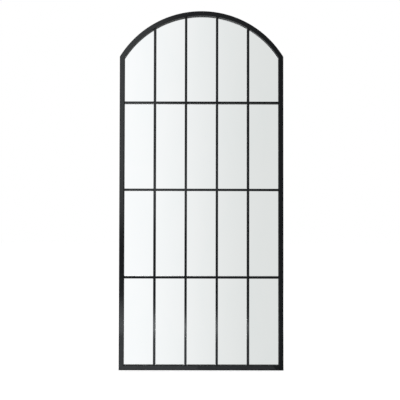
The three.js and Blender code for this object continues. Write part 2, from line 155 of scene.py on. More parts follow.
BUMPER_DISH = ((3.2 * MM, 0), (2.9 * MM, 0.3), (2.6 * MM, 1), (0, 1))  # radius, share of depth

# How finely the round parts are made
ARCH_PIECES = 120
CORNER_PIECES = 6
GLASS_ARRIS_PIECES = 1
BOARD_ROUNDING_PIECES = 3
SCREW_STEPS = 32
SCREW_DOME_STEPS = 9
BUTTON_END_STEPS = 24
BUTTON_HOLE_STEPS = 32
BUTTON_EDGE_PIECES = 3
STRAP_ROLL_STEPS = 40
STRAP_END_PIECES = 10
STRAP_EDGE_PIECES = 2
WIRE_SIDES = 20
WIRE_BEND_STEP = radians(7.5)
BUMPER_STEPS = 48
BUMPER_RIM_STEPS = 6

# What counts as the same place, or as facing along an axis
MERGE_DISTANCE = 0.002 * MM
CUT_DISTANCE = 0.0001 * MM
ON_LINE = 0.01 * MM
ON_RIM = 0.1 * MM
FACING = 0.9
SHARP_ANGLE = radians(60)  # between two faces, from which a strap's edge is rounded
LARGE_FACE_WEIGHT = 80  # in the shading of rounded edges

X_AXIS = Vector((1, 0, 0))
Y_AXIS = Vector((0, 1, 0))
Z_AXIS = Vector((0, 0, 1))


# ---- Materials ----------------------------------------------------------------------------

class Finish:
    """A procedural material under construction, with its pattern in object coordinates."""

    def __init__(self, name, **sockets):
        self.material = bpy.data.materials.new(name)
        self.material.use_nodes = True
        self.tree = self.material.node_tree
        self.shader = self.tree.nodes["Principled BSDF"]
        for socket, value in sockets.items():
            self.shader.inputs[socket.replace("_", " ")].default_value = value
        self.place = self.node("ShaderNodeTexCoord").outputs["Object"]

    def node(self, kind, **settings):
        made = self.tree.nodes.new(kind)
        for key, value in settings.items():
            setattr(made, key, value)
        return made

    def join(self, source, target):
        self.tree.links.new(source, target)

    def feed(self, target, value):
        """Sets a socket to a number or colour, or links it to another node's output."""
        if isinstance(value, bpy.types.NodeSocket):
            self.join(value, target)
        else:
            target.default_value = value

    def stretched(self, x=1.0, y=1.0, z=1.0):
        node = self.node("ShaderNodeMapping")
        node.inputs["Scale"].default_value = (x, y, z)
        self.join(self.place, node.inputs["Vector"])
        return node.outputs["Vector"]

    def noise(self, size, detail=3.0, roughness=0.55, distortion=0.0, place=None):
        """Noise whose features are about `size` metres across."""
        node = self.node("ShaderNodeTexNoise")
        node.inputs["Scale"].default_value = 1 / size
        node.inputs["Detail"].default_value = detail
        node.inputs["Roughness"].default_value = roughness
        node.inputs["Distortion"].default_value = distortion
        self.join(place or self.place, node.inputs["Vector"])
        return node.outputs["Fac"]

    def attribute(self, name):
        return self.node("ShaderNodeAttribute", attribute_name=name).outputs["Fac"]

    def spread(self, value, low, high, to_low=0.0, to_high=1.0):
        """Maps a value's range to another, and holds it inside."""
        node = self.node("ShaderNodeMapRange")
        for socket, number in zip(
            ("From Min", "From Max", "To Min", "To Max"), (low, high, to_low, to_high)
        ):
            node.inputs[socket].default_value = number
        self.join(value, node.inputs["Value"])
        return node.outputs["Result"]

    def combine(self, kind, first, second):
        node = self.node("ShaderNodeMath", operation=kind)
        self.feed(node.inputs[0], first)
        self.feed(node.inputs[1], second)
        return node.outputs["Value"]

    def blend(self, amount, first, second):
        """Mixes two colours."""
        node = self.node("ShaderNodeMix", data_type="RGBA", blend_type="MIX")
        self.feed(node.inputs["Factor"], amount)
        self.feed(node.inputs[6], first)
        self.feed(node.inputs[7], second)
        return node.outputs[2]

    def bump(self, height, depth, under=None):
        """A bump whose height runs over `depth` metres."""
        node = self.node("ShaderNodeBump")
        node.inputs["Strength"].default_value = 1.0
        node.inputs["Distance"].default_value = depth
        self.join(height, node.inputs["Height"])
        if under is not None:
            self.join(under, node.inputs["Normal"])
        return node.outputs["Normal"]

    def done(self, **sockets):
        for socket, value in sockets.items():
            self.feed(self.shader.inputs[socket.replace("_", " ")], value)
        return self.material


def rgb(red, green, blue):
    """A colour in linear light from its sRGB values, 0 to 255."""

    def linear(value):
        value /= 255
        return value / 12.92 if value <= 0.04045 else ((value + 0.055) / 1.055) ** 2.4

    return (linear(red), linear(green), linear(blue), 1.0)


COAT_GLOSS = 0.1
COAT_TINT = (0.93, 0.98, 1.0, 1.0)
COAT_ROUGHNESS = (0.12, 0.17)
REVEAL_ROUGHNESS = 0.5  # added on the tubes' sides, which look duller than their fronts
LEVEL_REVEAL_DULLNESS = 0.2  # the share of it on level tubes and the arch


def make_powder_coat():
    """Satin black powder coat: fine orange peel, a little colour drift, worn on the edges."""
    paint = Finish(
        "black_powder_coat", Specular_IOR_Level=COAT_GLOSS, IOR=1.5, Specular_Tint=COAT_TINT
    )
    drift = paint.noise(90 * MM, detail=2)
    grain = paint.noise(0.5 * MM, detail=2)
    edge = paint.combine("MULTIPLY", paint.attribute("edge"), paint.noise(6 * MM, detail=3))
    colour = paint.blend(paint.spread(drift, 0.35, 0.65), rgb(8, 9, 11), rgb(12, 13, 15))
    colour = paint.blend(paint.spread(grain, 0.62, 0.78, 0, 0.3), colour, rgb(24, 24, 25))
    colour = paint.blend(paint.spread(edge, 0.35, 0.75, 0, 0.4), colour, rgb(38, 38, 39))
    flow = paint.spread(paint.noise(35 * MM, detail=3), 0.3, 0.7, *COAT_ROUGHNESS)
    dull = paint.combine("MULTIPLY", paint.attribute("reveal"), REVEAL_ROUGHNESS)
    roughness = paint.combine("ADD", flow, dull)
    peel = paint.bump(paint.noise(1.6 * MM, detail=1), 0.014 * MM)
    normal = paint.bump(grain, 0.003 * MM, peel)
    return paint.done(Base_Color=colour, Roughness=roughness, Normal=normal)


def make_weld_coat():
    """The same coat over weld metal, which shows faint ripples."""
    paint = Finish("coated_weld", Specular_IOR_Level=COAT_GLOSS, IOR=1.5, Specular_Tint=COAT_TINT)
    ripple = paint.noise(0.9 * MM, detail=2, distortion=0.6)
    colour = paint.blend(ripple, rgb(9, 9, 10), rgb(20, 20, 21))
    roughness = paint.spread(ripple, 0.3, 0.7, *COAT_ROUGHNESS)
    normal = paint.bump(ripple, 0.05 * MM)
    return paint.done(Base_Color=colour, Roughness=roughness, Normal=normal)


def make_silvered_glass():
    """Clean mirror with a trace of haze from wiping."""
    silver = Finish("silvered_glass", Metallic=1.0)
    wiped = silver.noise(160 * MM, detail=4, distortion=1.2, place=silver.stretched(z=0.35))
    colour = silver.blend(
        silver.spread(wiped, 0.4, 0.7), rgb(250, 252, 253), rgb(248, 251, 252)
    )
    roughness = silver.spread(wiped, 0.45, 0.75, 0.0, 0.022)
    return silver.done(Base_Color=colour, Roughness=roughness)


def make_glass_edge():
    """The ground arris and edge of float glass, pale green and frosted."""
    edge = Finish("ground_glass_edge", Specular_IOR_Level=0.5, IOR=1.52)
    frost = edge.noise(0.25 * MM, detail=2)
    colour = edge.blend(frost, rgb(112, 150, 138), rgb(168, 196, 186))
    normal = edge.bump(frost, 0.02 * MM)
    roughness = edge.spread(frost, 0.3, 0.7, 0.4, 0.6)
    return edge.done(Base_Color=colour, Roughness=roughness, Normal=normal)


def make_bead():
    """Black glazing silicone, tooled by hand."""
    bead = Finish("glazing_silicone", Specular_IOR_Level=0.4, IOR=1.45)
    tooling = bead.noise(12 * MM, detail=3)
    colour = bead.blend(tooling, rgb(17, 17, 18), rgb(26, 26, 27))
    roughness = bead.spread(tooling, 0.3, 0.7, 0.35, 0.5)
    return bead.done(Base_Color=colour, Roughness=roughness, Normal=bead.bump(tooling, 0.2 * MM))


def make_fibreboard(name, light, dark, gloss):
    """Pressed wood fibre: matted fibres, specks of bark, and clouds of colour."""
    board = Finish(name, Specular_IOR_Level=0.35)
    clouds = board.noise(160 * MM, detail=6, roughness=0.62)
    fibres = board.noise(1.1 * MM, detail=4, distortion=2.2)
    chips = board.noise(4.5 * MM, detail=5, roughness=0.7, distortion=1.0)
    bark = board.noise(2.2 * MM, detail=2, place=board.stretched(x=0.6, z=1.4))
    sanding = board.noise(1.5 * MM, detail=2, place=board.stretched(z=0.03))
    colour = board.blend(board.spread(clouds, 0.36, 0.64, 0.38, 0.64), dark, light)
    colour = board.blend(0.4, colour, board.blend(board.spread(fibres, 0.35, 0.65), dark, light))
    colour = board.blend(board.spread(chips, 0.55, 0.75, 0.0, 0.5), colour, dark)
    colour = board.blend(board.spread(chips, 0.42, 0.3, 0.0, 0.35), colour, rgb(184, 150, 112))
    colour = board.blend(board.spread(bark, 0.72, 0.8, 0.0, 0.5), colour, rgb(66, 46, 31))
    colour = board.blend(board.spread(sanding, 0.5, 0.75, 0.0, 0.16), colour, light)
    roughness = board.spread(fibres, 0.3, 0.7, gloss, gloss + 0.18)
    scored = board.bump(sanding, 0.012 * MM)
    return board.done(
        Base_Color=colour, Roughness=roughness, Normal=board.bump(fibres, 0.06 * MM, scored)
    )


def make_zinc(name, brush, *colours):
    """Bright zinc plating: a faint blue and straw cast, rolled or drawn lines, fine wear."""
    plate = Finish(name, Metallic=1.0)
    cast = plate.noise(9 * MM, detail=3)
    lines = plate.noise(0.35 * MM, detail=2, place=plate.stretched(*brush))
    colour = plate.blend(plate.spread(cast, 0.35, 0.65), *colours)
    scuff = plate.spread(plate.noise(1.4 * MM, detail=5, roughness=0.65), 0.55, 0.75)
    colour = plate.blend(plate.combine("MULTIPLY", scuff, 0.45), colour, rgb(158, 158, 160))
    roughness = plate.combine(
        "ADD", plate.spread(lines, 0.3, 0.7, 0.24, 0.36), plate.combine("MULTIPLY", scuff, 0.15)
    )
    return plate.done(
        Base_Color=colour, Roughness=roughness, Normal=plate.bump(lines, 0.006 * MM)
    )


def make_rubber():
    """Moulded rubber with a little bloom."""
    rubber = Finish("bumper_rubber", Specular_IOR_Level=0.3)
    bloom = rubber.noise(5 * MM, detail=4)
    grain = rubber.noise(0.3 * MM, detail=2)
    colour = rubber.blend(rubber.spread(bloom, 0.4, 0.75), rgb(24, 24, 24), rgb(48, 47, 46))
    roughness = rubber.spread(bloom, 0.3, 0.7, 0.55, 0.75)
    return rubber.done(Base_Color=colour, Roughness=roughness, Normal=rubber.bump(grain, 0.03 * MM))


POWDER_COAT = make_powder_coat()
WELD_COAT = make_weld_coat()
SILVER = make_silvered_glass()
GLASS_EDGE = make_glass_edge()
BEAD = make_bead()
BOARD_FACE = make_fibreboard("fibreboard", rgb(158, 122, 86), rgb(126, 92, 61), 0.5)
BOARD_EDGE = make_fibreboard("fibreboard_sawn_edge", rgb(134, 100, 68), rgb(92, 64, 42), 0.8)
ZINC = make_zinc("zinc_plate", (1, 1, 6), rgb(196, 198, 202), rgb(204, 202, 194))
WIRE_ZINC = make_zinc("zinc_wire", (3, 3, 3), rgb(190, 192, 197), rgb(200, 198, 192))
SCREW_STEEL = make_zinc("zinc_screw", (4, 1, 4), rgb(186, 188, 193), rgb(204, 198, 178))
RUBBER = make_rubber()


# ---- Making pieces ------------------------------------------------------------------------

def verts_of(geometry):
    return [item for item in geometry if isinstance(item, bmesh.types.BMVert)]


def edges_of(geometry):
    return [item for item in geometry if isinstance(item, bmesh.types.BMEdge)]


def faces_of(geometry):
    return [item for item in geometry if isinstance(item, bmesh.types.BMFace)]


def finish_mesh(bm, name, materials, smooth_angle=30):
    """Closes a bmesh into a mesh whose normals point outwards."""
    bmesh.ops.remove_doubles(bm, verts=bm.verts, dist=MERGE_DISTANCE)
    bmesh.ops.recalc_face_normals(bm, faces=bm.faces)
    mesh = bpy.data.meshes.new(name)
    bm.to_mesh(mesh)
    bm.free()
    for material in materials:
        mesh.materials.append(material)
    mesh.shade_smooth()
    mesh.set_sharp_from_angle(angle=radians(smooth_angle))
    return mesh


def add_piece(name, mesh, body, slot, *nodes):
    """Puts a finished mesh into the scene as a piece that stands for CAD nodes."""
    piece = bpy.data.objects.new(name, mesh)
    bpy.context.scene.collection.objects.link(piece)
    even = piece.modifiers.new("even_shading", "WEIGHTED_NORMAL")
    even.keep_sharp = True
    even.weight = LARGE_FACE_WEIGHT
    if nodes:
        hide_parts(*nodes)
    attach(piece, body)
    return piece


def bevel(bm, geom, offset, pieces, affect="EDGES", material=-1):
    bmesh.ops.bevel(
        bm,
        geom=geom,
        offset=offset,
        segments=pieces,
        profile=0.5,
        affect=affect,
        material=material,
    )


def flat_square(bm):
    """Makes a face of one metre square in the XY plane, round the origin, and gives its points."""
    return bmesh.ops.create_grid(bm, x_segments=1, y_segments=1, size=0.5)["verts"]


def tube_section(bm, across, deep, wall, radius, dull):
    """A tube's section as a ring of faces in the XY plane, centred on the origin.

    The coat reads the edge attribute as wear on the rounded corners, and the reveal
    attribute as a duller finish on the two sides."""
    corners = flat_square(bm)
    bmesh.ops.scale(bm, vec=(across, deep, 1), verts=corners)
    bevel(bm, corners, radius, CORNER_PIECES, affect="VERTICES")
    edge = bm.verts.layers.float.new("edge")
    reveal = bm.verts.layers.float.new("reveal")
    for vert in bm.verts:
        past_x = max(0.0, abs(vert.co.x) - (across / 2 - radius))
        past_y = max(0.0, abs(vert.co.y) - (deep / 2 - radius))
        vert[edge] = min(1.0, min(past_x, past_y) / (radius * sin(pi / 4)))
        vert[reveal] = dull * past_x / radius
    middle = bm.faces[:]
    bmesh.ops.inset_region(
        bm, faces=middle, thickness=wall, use_even_offset=True, use_boundary=True
    )
    bmesh.ops.delete(bm, geom=middle, context="FACES_ONLY")
    return bm.faces[:]


def draw_out(bm, faces, along):
    """Extrudes faces along a vector."""
    moved = verts_of(bmesh.ops.extrude_face_region(bm, geom=faces)["geom"])
    bmesh.ops.translate(bm, vec=along, verts=moved)


def cut_off(bm, point, outward):
    """Cuts away what lies beyond a plane, and gives the edges of the cut."""
    cut = bmesh.ops.bisect_plane(
        bm,
        geom=bm.verts[:] + bm.edges[:] + bm.faces[:],
        dist=CUT_DISTANCE,
        plane_co=point,
        plane_no=outward,
        clear_outer=True,
    )
    return edges_of(cut["geom_cut"])


def trim(bm, point, outward):
    """Cuts away what lies beyond a plane, and closes what is left on each side of x = 0."""
    rim = cut_off(bm, point, outward)
    for sign in SIDES.values():
        side = [edge for edge in rim if edge.verts[0].co.x * sign > 0]
        bmesh.ops.edgeloop_fill(bm, edges=side)


def cut_end(bm, point, outward, hairline=0.0):
    """Cuts a tube off square to a direction, and closes its wall with a ring of faces."""
    rim = [edge for edge in cut_off(bm, point, outward) if edge.is_valid]
    ring = bmesh.ops.bridge_loops(bm, edges=rim)["faces"]
    if hairline:
        outer = [
            edge
            for edge in rim
            if any(face not in ring and face.normal.length for face in edge.link_faces)
        ]
        bevel(bm, outer, hairline, 1)


def mitre(outer, inner, keep):
    """A cutting plane through a mitre's two ends that leaves the side with `keep`."""
    a, b = Vector((outer[0], 0, outer[1])), Vector((inner[0], 0, inner[1]))
    outward = (b - a).cross(Y_AXIS).normalized()
    if outward.dot(Vector((keep[0], 0, keep[1])) - a) > 0:
        outward.negate()
    return (a + b) / 2, outward


def foot_mitre(sign, keep):
    return mitre((sign * HALF_WIDTH, 0), (sign * DAYLIGHT_HALF_WIDTH, FRAME_FACE), keep)


def spring_mitre(sign, keep):
    return mitre(
        (sign * HALF_WIDTH, SPRING_Z), (sign * DAYLIGHT_HALF_WIDTH, INNER_SPRING_Z), keep
    )


def frame_section(bm, dull=1.0):
    return tube_section(bm, FRAME_FACE, FRAME_DEPTH, FRAME_WALL, FRAME_EDGE_RADIUS, dull)


def bar_section(bm, dull=1.0):
    return tube_section(bm, BAR_FACE, BAR_DEPTH, BAR_WALL, BAR_EDGE_RADIUS, dull)


def move(bm, x=0.0, y=0.0, z=0.0):
    bmesh.ops.translate(bm, vec=(x, y, z), verts=bm.verts)


def turn(bm, angle, axis):
    bmesh.ops.rotate(bm, cent=(0, 0, 0), matrix=Matrix.Rotation(angle, 3, axis), verts=bm.verts)


def add_coated(bm, name, node, *materials):
    """Finishes a bmesh as a coated length of the frame."""
    mesh = finish_mesh(bm, f"{name}_coated", materials)
    return add_piece(mesh.name, mesh, "mirror_frame", "black_powder_coat", node)


# ---- Frame --------------------------------------------------------------------------------

def make_stile(side, sign):
    bm = bmesh.new()
    draw_out(bm, frame_section(bm), Z_AXIS * (SPRING_Z + 2 * FRAME_FACE))
    move(bm, sign * TUBE_LINE_X, FRAME_MID_Y, -FRAME_FACE / 2)
    keep = (sign * TUBE_LINE_X, SPRING_Z / 2)
    for plane in (foot_mitre(sign, keep), spring_mitre(sign, keep)):
        cut_end(bm, *plane, GROUND_EDGE)
    return add_coated(bm, f"{side}_stile", f"{side}_stile", POWDER_COAT)


def make_bottom_rail():
    bm = bmesh.new()
    draw_out(bm, frame_section(bm), Z_AXIS * (WIDTH + 2 * FRAME_FACE))
    turn(bm, pi / 2, "Y")
    move(bm, -HALF_WIDTH - FRAME_FACE, FRAME_MID_Y, FRAME_FACE / 2)
    for sign in SIDES.values():
        cut_end(bm, *foot_mitre(sign, (0, FRAME_FACE / 2)), GROUND_EDGE)
    return add_coated(bm, "bottom_rail", "bottom_rail", POWDER_COAT)


def make_arch_head():
    """The rolled head: the section goes round the arch's centre, then its ends are mitred."""
    bm = bmesh.new()
    section = frame_section(bm, LEVEL_REVEAL_DULLNESS)
    half_turn = ARCH_END_ANGLE + FRAME_FACE / ARCH_RADIUS
    move(bm, TUBE_LINE_RADIUS, FRAME_MID_Y)
    turn(bm, half_turn - pi / 2, "Y")
    bmesh.ops.spin(
        bm,
        geom=section + bm.edges[:] + bm.verts[:],
        axis=-Y_AXIS,
        angle=2 * half_turn,
        steps=ARCH_PIECES,
    )
    move(bm, z=ARCH_CENTRE_Z)
    for sign in SIDES.values():
        cut_end(bm, *spring_mitre(sign, (0, HEIGHT)), GROUND_EDGE)
    return add_coated(bm, "arch_head", "arch_head", POWDER_COAT)


# ---- Glazing bars -------------------------------------------------------------------------

def column_x(index):
    return COLUMN_PITCH * (index - PANE_COLUMNS / 2)


def row_z(index):
    return FRAME_FACE + (HEIGHT - 2 * FRAME_FACE) * index / PANE_ROWS


def hold_off(vert, distance):
    """Sets a point of a weld at its distance from the bar's rounded section."""
    corner = Vector(
        (
            copysign(BAR_FACE / 2 - BAR_EDGE_RADIUS, vert.co.x),
            copysign(BAR_DEPTH / 2 - BAR_EDGE_RADIUS, vert.co.y),
            vert.co.z,
        )
    )
    vert.co = corner + (vert.co - corner).normalized() * (BAR_EDGE_RADIUS + distance)


def off_bar(vert):
    past_x = abs(vert.co.x) - (BAR_FACE / 2 - BAR_EDGE_RADIUS)
    past_y = abs(vert.co.y) - (BAR_DEPTH / 2 - BAR_EDGE_RADIUS)
    return sqrt(past_x**2 + past_y**2) - BAR_EDGE_RADIUS


def weld_round(bm, end, across, inward, with_front=True):
    """A concave weld that runs round a bar's end, but for its back, which lies on the glass.

    `end` is the middle of the bar's end, `across` lies in the surface that it meets, and
    `inward` points along the bar. Between two bars the front is ground flush, so the weld
    is left out there."""
    weld = bmesh.new()
    faces = tube_section(
        weld,
        BAR_FACE + 2 * WELD_RADIUS,
        BAR_DEPTH + 2 * WELD_RADIUS,
        WELD_RADIUS,
        BAR_EDGE_RADIUS + WELD_RADIUS,
        LEVEL_REVEAL_DULLNESS,
    )
    for vert in weld.verts:
        hold_off(vert, WELD_RADIUS if off_bar(vert) > WELD_RADIUS / 2 else 0)
    for step in range(1, WELD_PIECES + 1):
        angle = step / WELD_PIECES * pi / 2
        made = bmesh.ops.extrude_face_region(weld, geom=faces)["geom"]
        if step > 1:
            bmesh.ops.delete(weld, geom=faces, context="FACES")
        faces = faces_of(made)
        for vert in verts_of(made):
            vert.co.z = WELD_RADIUS * (1 - cos(angle))
            if off_bar(vert) > WELD_SINK / 2:
                hold_off(vert, WELD_RADIUS * (1 - sin(angle)))
    bmesh.ops.remove_doubles(weld, verts=weld.verts, dist=MERGE_DISTANCE)
    trim(weld, (0, BAR_DEPTH / 2 - BEAD_RISE - WELD_SINK, 0), Y_AXIS)
    if not with_front:
        trim(weld, (0, WELD_SINK + BAR_EDGE_RADIUS - BAR_DEPTH / 2, 0), -Y_AXIS)
    move(weld, z=-WELD_SINK / 2)
    place = Matrix((across, Y_AXIS, inward)).transposed().to_4x4()
    place.translation = end
    bmesh.ops.transform(weld, matrix=place, verts=weld.verts)
    for face in weld.faces:
        face.material_index = 1
    shaped = bpy.data.meshes.new("weld")
    weld.to_mesh(shaped)
    weld.free()
    bm.from_mesh(shaped)
    bpy.data.meshes.remove(shaped)


def make_upright(index):
    """A full-height bar, its top scribed to the arch and both ends welded in."""
    bm = bmesh.new()
    x = column_x(index)
    draw_out(bm, bar_section(bm), Z_AXIS * HEIGHT)
    move(bm, x, BAR_MID_Y, FRAME_FACE - WELD_SINK)
    top = Vector((x, 0, ARCH_CENTRE_Z + sqrt(DAYLIGHT_RADIUS**2 - x**2)))
    radial = (top - Vector((0, 0, ARCH_CENTRE_Z))).normalized()
    cut_end(bm, top, radial)
    weld_round(bm, Vector((x, BAR_MID_Y, FRAME_FACE)), X_AXIS, Z_AXIS)
    top.y = BAR_MID_Y
    weld_round(bm, top, X_AXIS - Z_AXIS * radial.x / radial.z, -Z_AXIS)
    return add_coated(bm, f"upright_{index}", f"upright_bar_{index}", POWDER_COAT, WELD_COAT)


def make_cross_bar(row, column):
    """A short bar between two uprights, welded and ground flush at the front."""
    bm = bmesh.new()
    z = row_z(row)
    at_left_stile, at_right_stile = column == 0, column == PANE_COLUMNS - 1
    left = -DAYLIGHT_HALF_WIDTH if at_left_stile else column_x(column) + BAR_FACE / 2
    right = DAYLIGHT_HALF_WIDTH if at_right_stile else column_x(column + 1) - BAR_FACE / 2
    into_left = WELD_SINK if at_left_stile else CROSS_BAR_SINK
    into_right = WELD_SINK if at_right_stile else CROSS_BAR_SINK
    section = bar_section(bm, LEVEL_REVEAL_DULLNESS)
    draw_out(bm, section, Z_AXIS * (right - left + into_left + into_right))
    turn(bm, pi / 2, "Y")
    move(bm, left - into_left, BAR_MID_Y, z)
    weld_round(bm, Vector((left, BAR_MID_Y, z)), Z_AXIS, X_AXIS, at_left_stile)
    weld_round(bm, Vector((right, BAR_MID_Y, z)), Z_AXIS, -X_AXIS, at_right_stile)
    name = f"row{row}_{column + 1}"
    return add_coated(bm, f"cross_{name}", f"cross_bar_{name}", POWDER_COAT, WELD_COAT)


# ---- Sheets -------------------------------------------------------------------------------

def arched_face(bm, half_width, bottom_z, radius):
    """A flat face with straight sides and an arc on top, in the XZ plane."""
    end_angle = asin(half_width / radius)
    spring = ARCH_CENTRE_Z + radius * cos(end_angle)
    first = bm.verts.new((half_width, 0, spring))
    bmesh.ops.spin(
        bm,
        geom=[first],
        cent=(0, 0, ARCH_CENTRE_Z),
        axis=-Y_AXIS,
        angle=2 * end_angle,
        steps=ARCH_PIECES,
    )
    last = min(bm.verts, key=lambda vert: vert.co.x)
    foot = [bm.verts.new((side * half_width, 0, bottom_z)) for side in (1, -1)]
    for pair in ((foot[0], first), (foot[1], foot[0]), (last, foot[1])):
        bm.edges.new(pair)
    return bmesh.ops.edgeloop_fill(bm, edges=bm.edges[:])["faces"]


def make_sheet(name, node, slot, front_y, thickness, arris, pieces, *materials):
    """A sheet cut to the arch, in the material of its faces and that of its edge."""
    bm = bmesh.new()
    face = arched_face(
        bm, DAYLIGHT_HALF_WIDTH - SHEET_CLEARANCE, FRAME_FACE, DAYLIGHT_RADIUS - SHEET_CLEARANCE
    )
    draw_out(bm, face, Y_AXIS * thickness)
    move(bm, y=front_y)
    bmesh.ops.recalc_face_normals(bm, faces=bm.faces)
    for side in bm.faces:
        side.material_index = 0 if abs(side.normal.y) > FACING else 1
    rims = [e for e in bm.edges if {f.material_index for f in e.link_faces} == {0, 1}]
    bevel(bm, rims, arris, pieces, material=1)
    mesh = finish_mesh(bm, name, materials, smooth_angle=25)
    return add_piece(name, mesh, "mirror_frame", slot, node)


def make_glazing_bead():
    """Silicone between the glass and the tube, tooled hollow, down to the bottom rail."""
    bm = bmesh.new()
    face = arched_face(bm, DAYLIGHT_HALF_WIDTH, FRAME_FACE - BEAD_SPARE, DAYLIGHT_RADIUS)
    bmesh.ops.inset_region(
        bm, faces=face, thickness=SHEET_CLEARANCE, use_even_offset=True, use_boundary=True
    )
    bmesh.ops.delete(bm, geom=face, context="FACES_ONLY")
    ring = bm.faces[:]
    draw_out(bm, ring, Y_AXIS * MIRROR_THICKNESS)
    move(bm, y=MIRROR_Y)
    bmesh.ops.recalc_face_normals(bm, faces=bm.faces)
    front = [f for f in bm.faces if f.normal.y < -FACING]
    outer = set()
    for vert in {v for f in front for v in f.verts}:
        near_side = abs(vert.co.x) > DAYLIGHT_HALF_WIDTH - ON_RIM
        from_centre = sqrt(vert.co.x**2 + (vert.co.z - ARCH_CENTRE_Z) ** 2)
        near_arch = vert.co.z > SPRING_Z - FRAME_FACE and from_centre > DAYLIGHT_RADIUS - ON_RIM
        if near_side or near_arch:
            outer.add(vert)
    bmesh.ops.translate(bm, vec=-Y_AXIS * BEAD_RISE, verts=list(outer))
    trim(bm, (0, 0, FRAME_FACE), -Z_AXIS)
    mesh = finish_mesh(bm, "glazing_bead", [BEAD])
    return add_piece("glazing_bead", mesh, "mirror_frame", "black_powder_coat")


# ---- Fastenings ---------------------------------------------------------------------------

def lathe(bm, profile, steps):
    """Turns a profile of (radius, y) points round the Y axis into a closed solid."""
    verts = [bm.verts.new((radius, y, 0)) for radius, y in profile]
    edges = [bm.edges.new(pair) for pair in zip(verts, verts[1:])]
    bmesh.ops.spin(
        bm, geom=verts + edges, axis=Y_AXIS, angle=2 * pi, steps=steps, use_merge=True
    )
    bmesh.ops.remove_doubles(bm, verts=bm.verts, dist=MERGE_DISTANCE)


def screw_profile():
    """From the tip, along the threaded shank, under the head and over its dome."""
    points = [(0, -SCREW_LENGTH), (SCREW_POINT_RADIUS, -SCREW_LENGTH)]
    y = -SCREW_LENGTH + SCREW_TIP_LENGTH
    while y < -THREAD_PITCH:
        points += [(THREAD_ROOT_RADIUS, y), (SCREW_RADIUS, y + THREAD_PITCH / 2)]
        y += THREAD_PITCH
    points += [(THREAD_ROOT_RADIUS, -THREAD_RUN_OUT), (SCREW_NECK_RADIUS, 0)]
    points += [(SCREW_HEAD_RADIUS - SCREW_HEAD_EDGE, 0), (SCREW_HEAD_RADIUS, SCREW_HEAD_EDGE)]
    dome = SCREW_HEAD_HEIGHT - SCREW_HEAD_RIM
    for step in range(SCREW_DOME_STEPS):
        angle = step / SCREW_DOME_STEPS * pi / 2
        points.append((SCREW_HEAD_RADIUS * cos(angle), SCREW_HEAD_RIM + dome * sin(angle)))
    return points + [(0, SCREW_HEAD_HEIGHT)]


def make_screw_mesh():
    """A round-headed screw with a cross recess, pointing to -Y from under its head."""
    bm = bmesh.new()
    lathe(bm, screw_profile(), SCREW_STEPS)
    body = bpy.data.objects.new("screw", finish_mesh(bm, "screw", [SCREW_STEEL]))
    wings = []
    for across in (0, pi / 2):
        bm = bmesh.new()
        bmesh.ops.create_cube(bm, size=1)
        bmesh.ops.scale(bm, vec=RECESS_CUTTER, verts=bm.verts)
        floor = [vert for vert in bm.verts if vert.co.y < 0]
        bmesh.ops.scale(bm, vec=RECESS_TAPER, verts=floor)
        move(bm, y=SCREW_HEAD_HEIGHT - RECESS_DEPTH + RECESS_CUTTER[1] / 2)
        turn(bm, across, "Y")
        wing = bpy.data.objects.new("wing", finish_mesh(bm, "wing", [SCREW_STEEL]))
        bpy.context.scene.collection.objects.link(wing)
        cut = body.modifiers.new("recess", "BOOLEAN")
        cut.operation, cut.solver, cut.object = "DIFFERENCE", "EXACT", wing
        wings.append(wing)
    bpy.context.scene.collection.objects.link(body)
    shaped = body.evaluated_get(bpy.context.evaluated_depsgraph_get())
    mesh = bpy.data.meshes.new_from_object(shaped)
    for spare in (body, *wings):
        bpy.data.objects.remove(spare)
    return mesh


def placed(mesh, name, matrix):
    """A copy of a mesh with its place in its points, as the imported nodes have."""
    copy = mesh.copy()
    copy.name = name
    copy.transform(matrix)
    return copy


def button_places():
    """Name, pivot and the direction in which each turn button reaches over the board."""
    highest = SPRING_Z - BUTTON_TOP_DROP
    middle = (BUTTON_LOWEST_Z + highest) / 2
    heights = {"lower": BUTTON_LOWEST_Z, "middle": middle, "upper": highest}
    arch_angle = ARCH_END_ANGLE / 2
    for side, sign in SIDES.items():
        for level, z in heights.items():
            yield f"{side}_{level}", sign * TUBE_LINE_X, z, -sign * X_AXIS
        yield f"bottom_{side}", sign * HALF_WIDTH / 2, FRAME_FACE / 2, Z_AXIS
        outward = Vector((sign * sin(arch_angle), 0, cos(arch_angle)))
        pivot = outward * TUBE_LINE_RADIUS
        yield f"arch_{side}", pivot.x, ARCH_CENTRE_Z + pivot.z, -outward


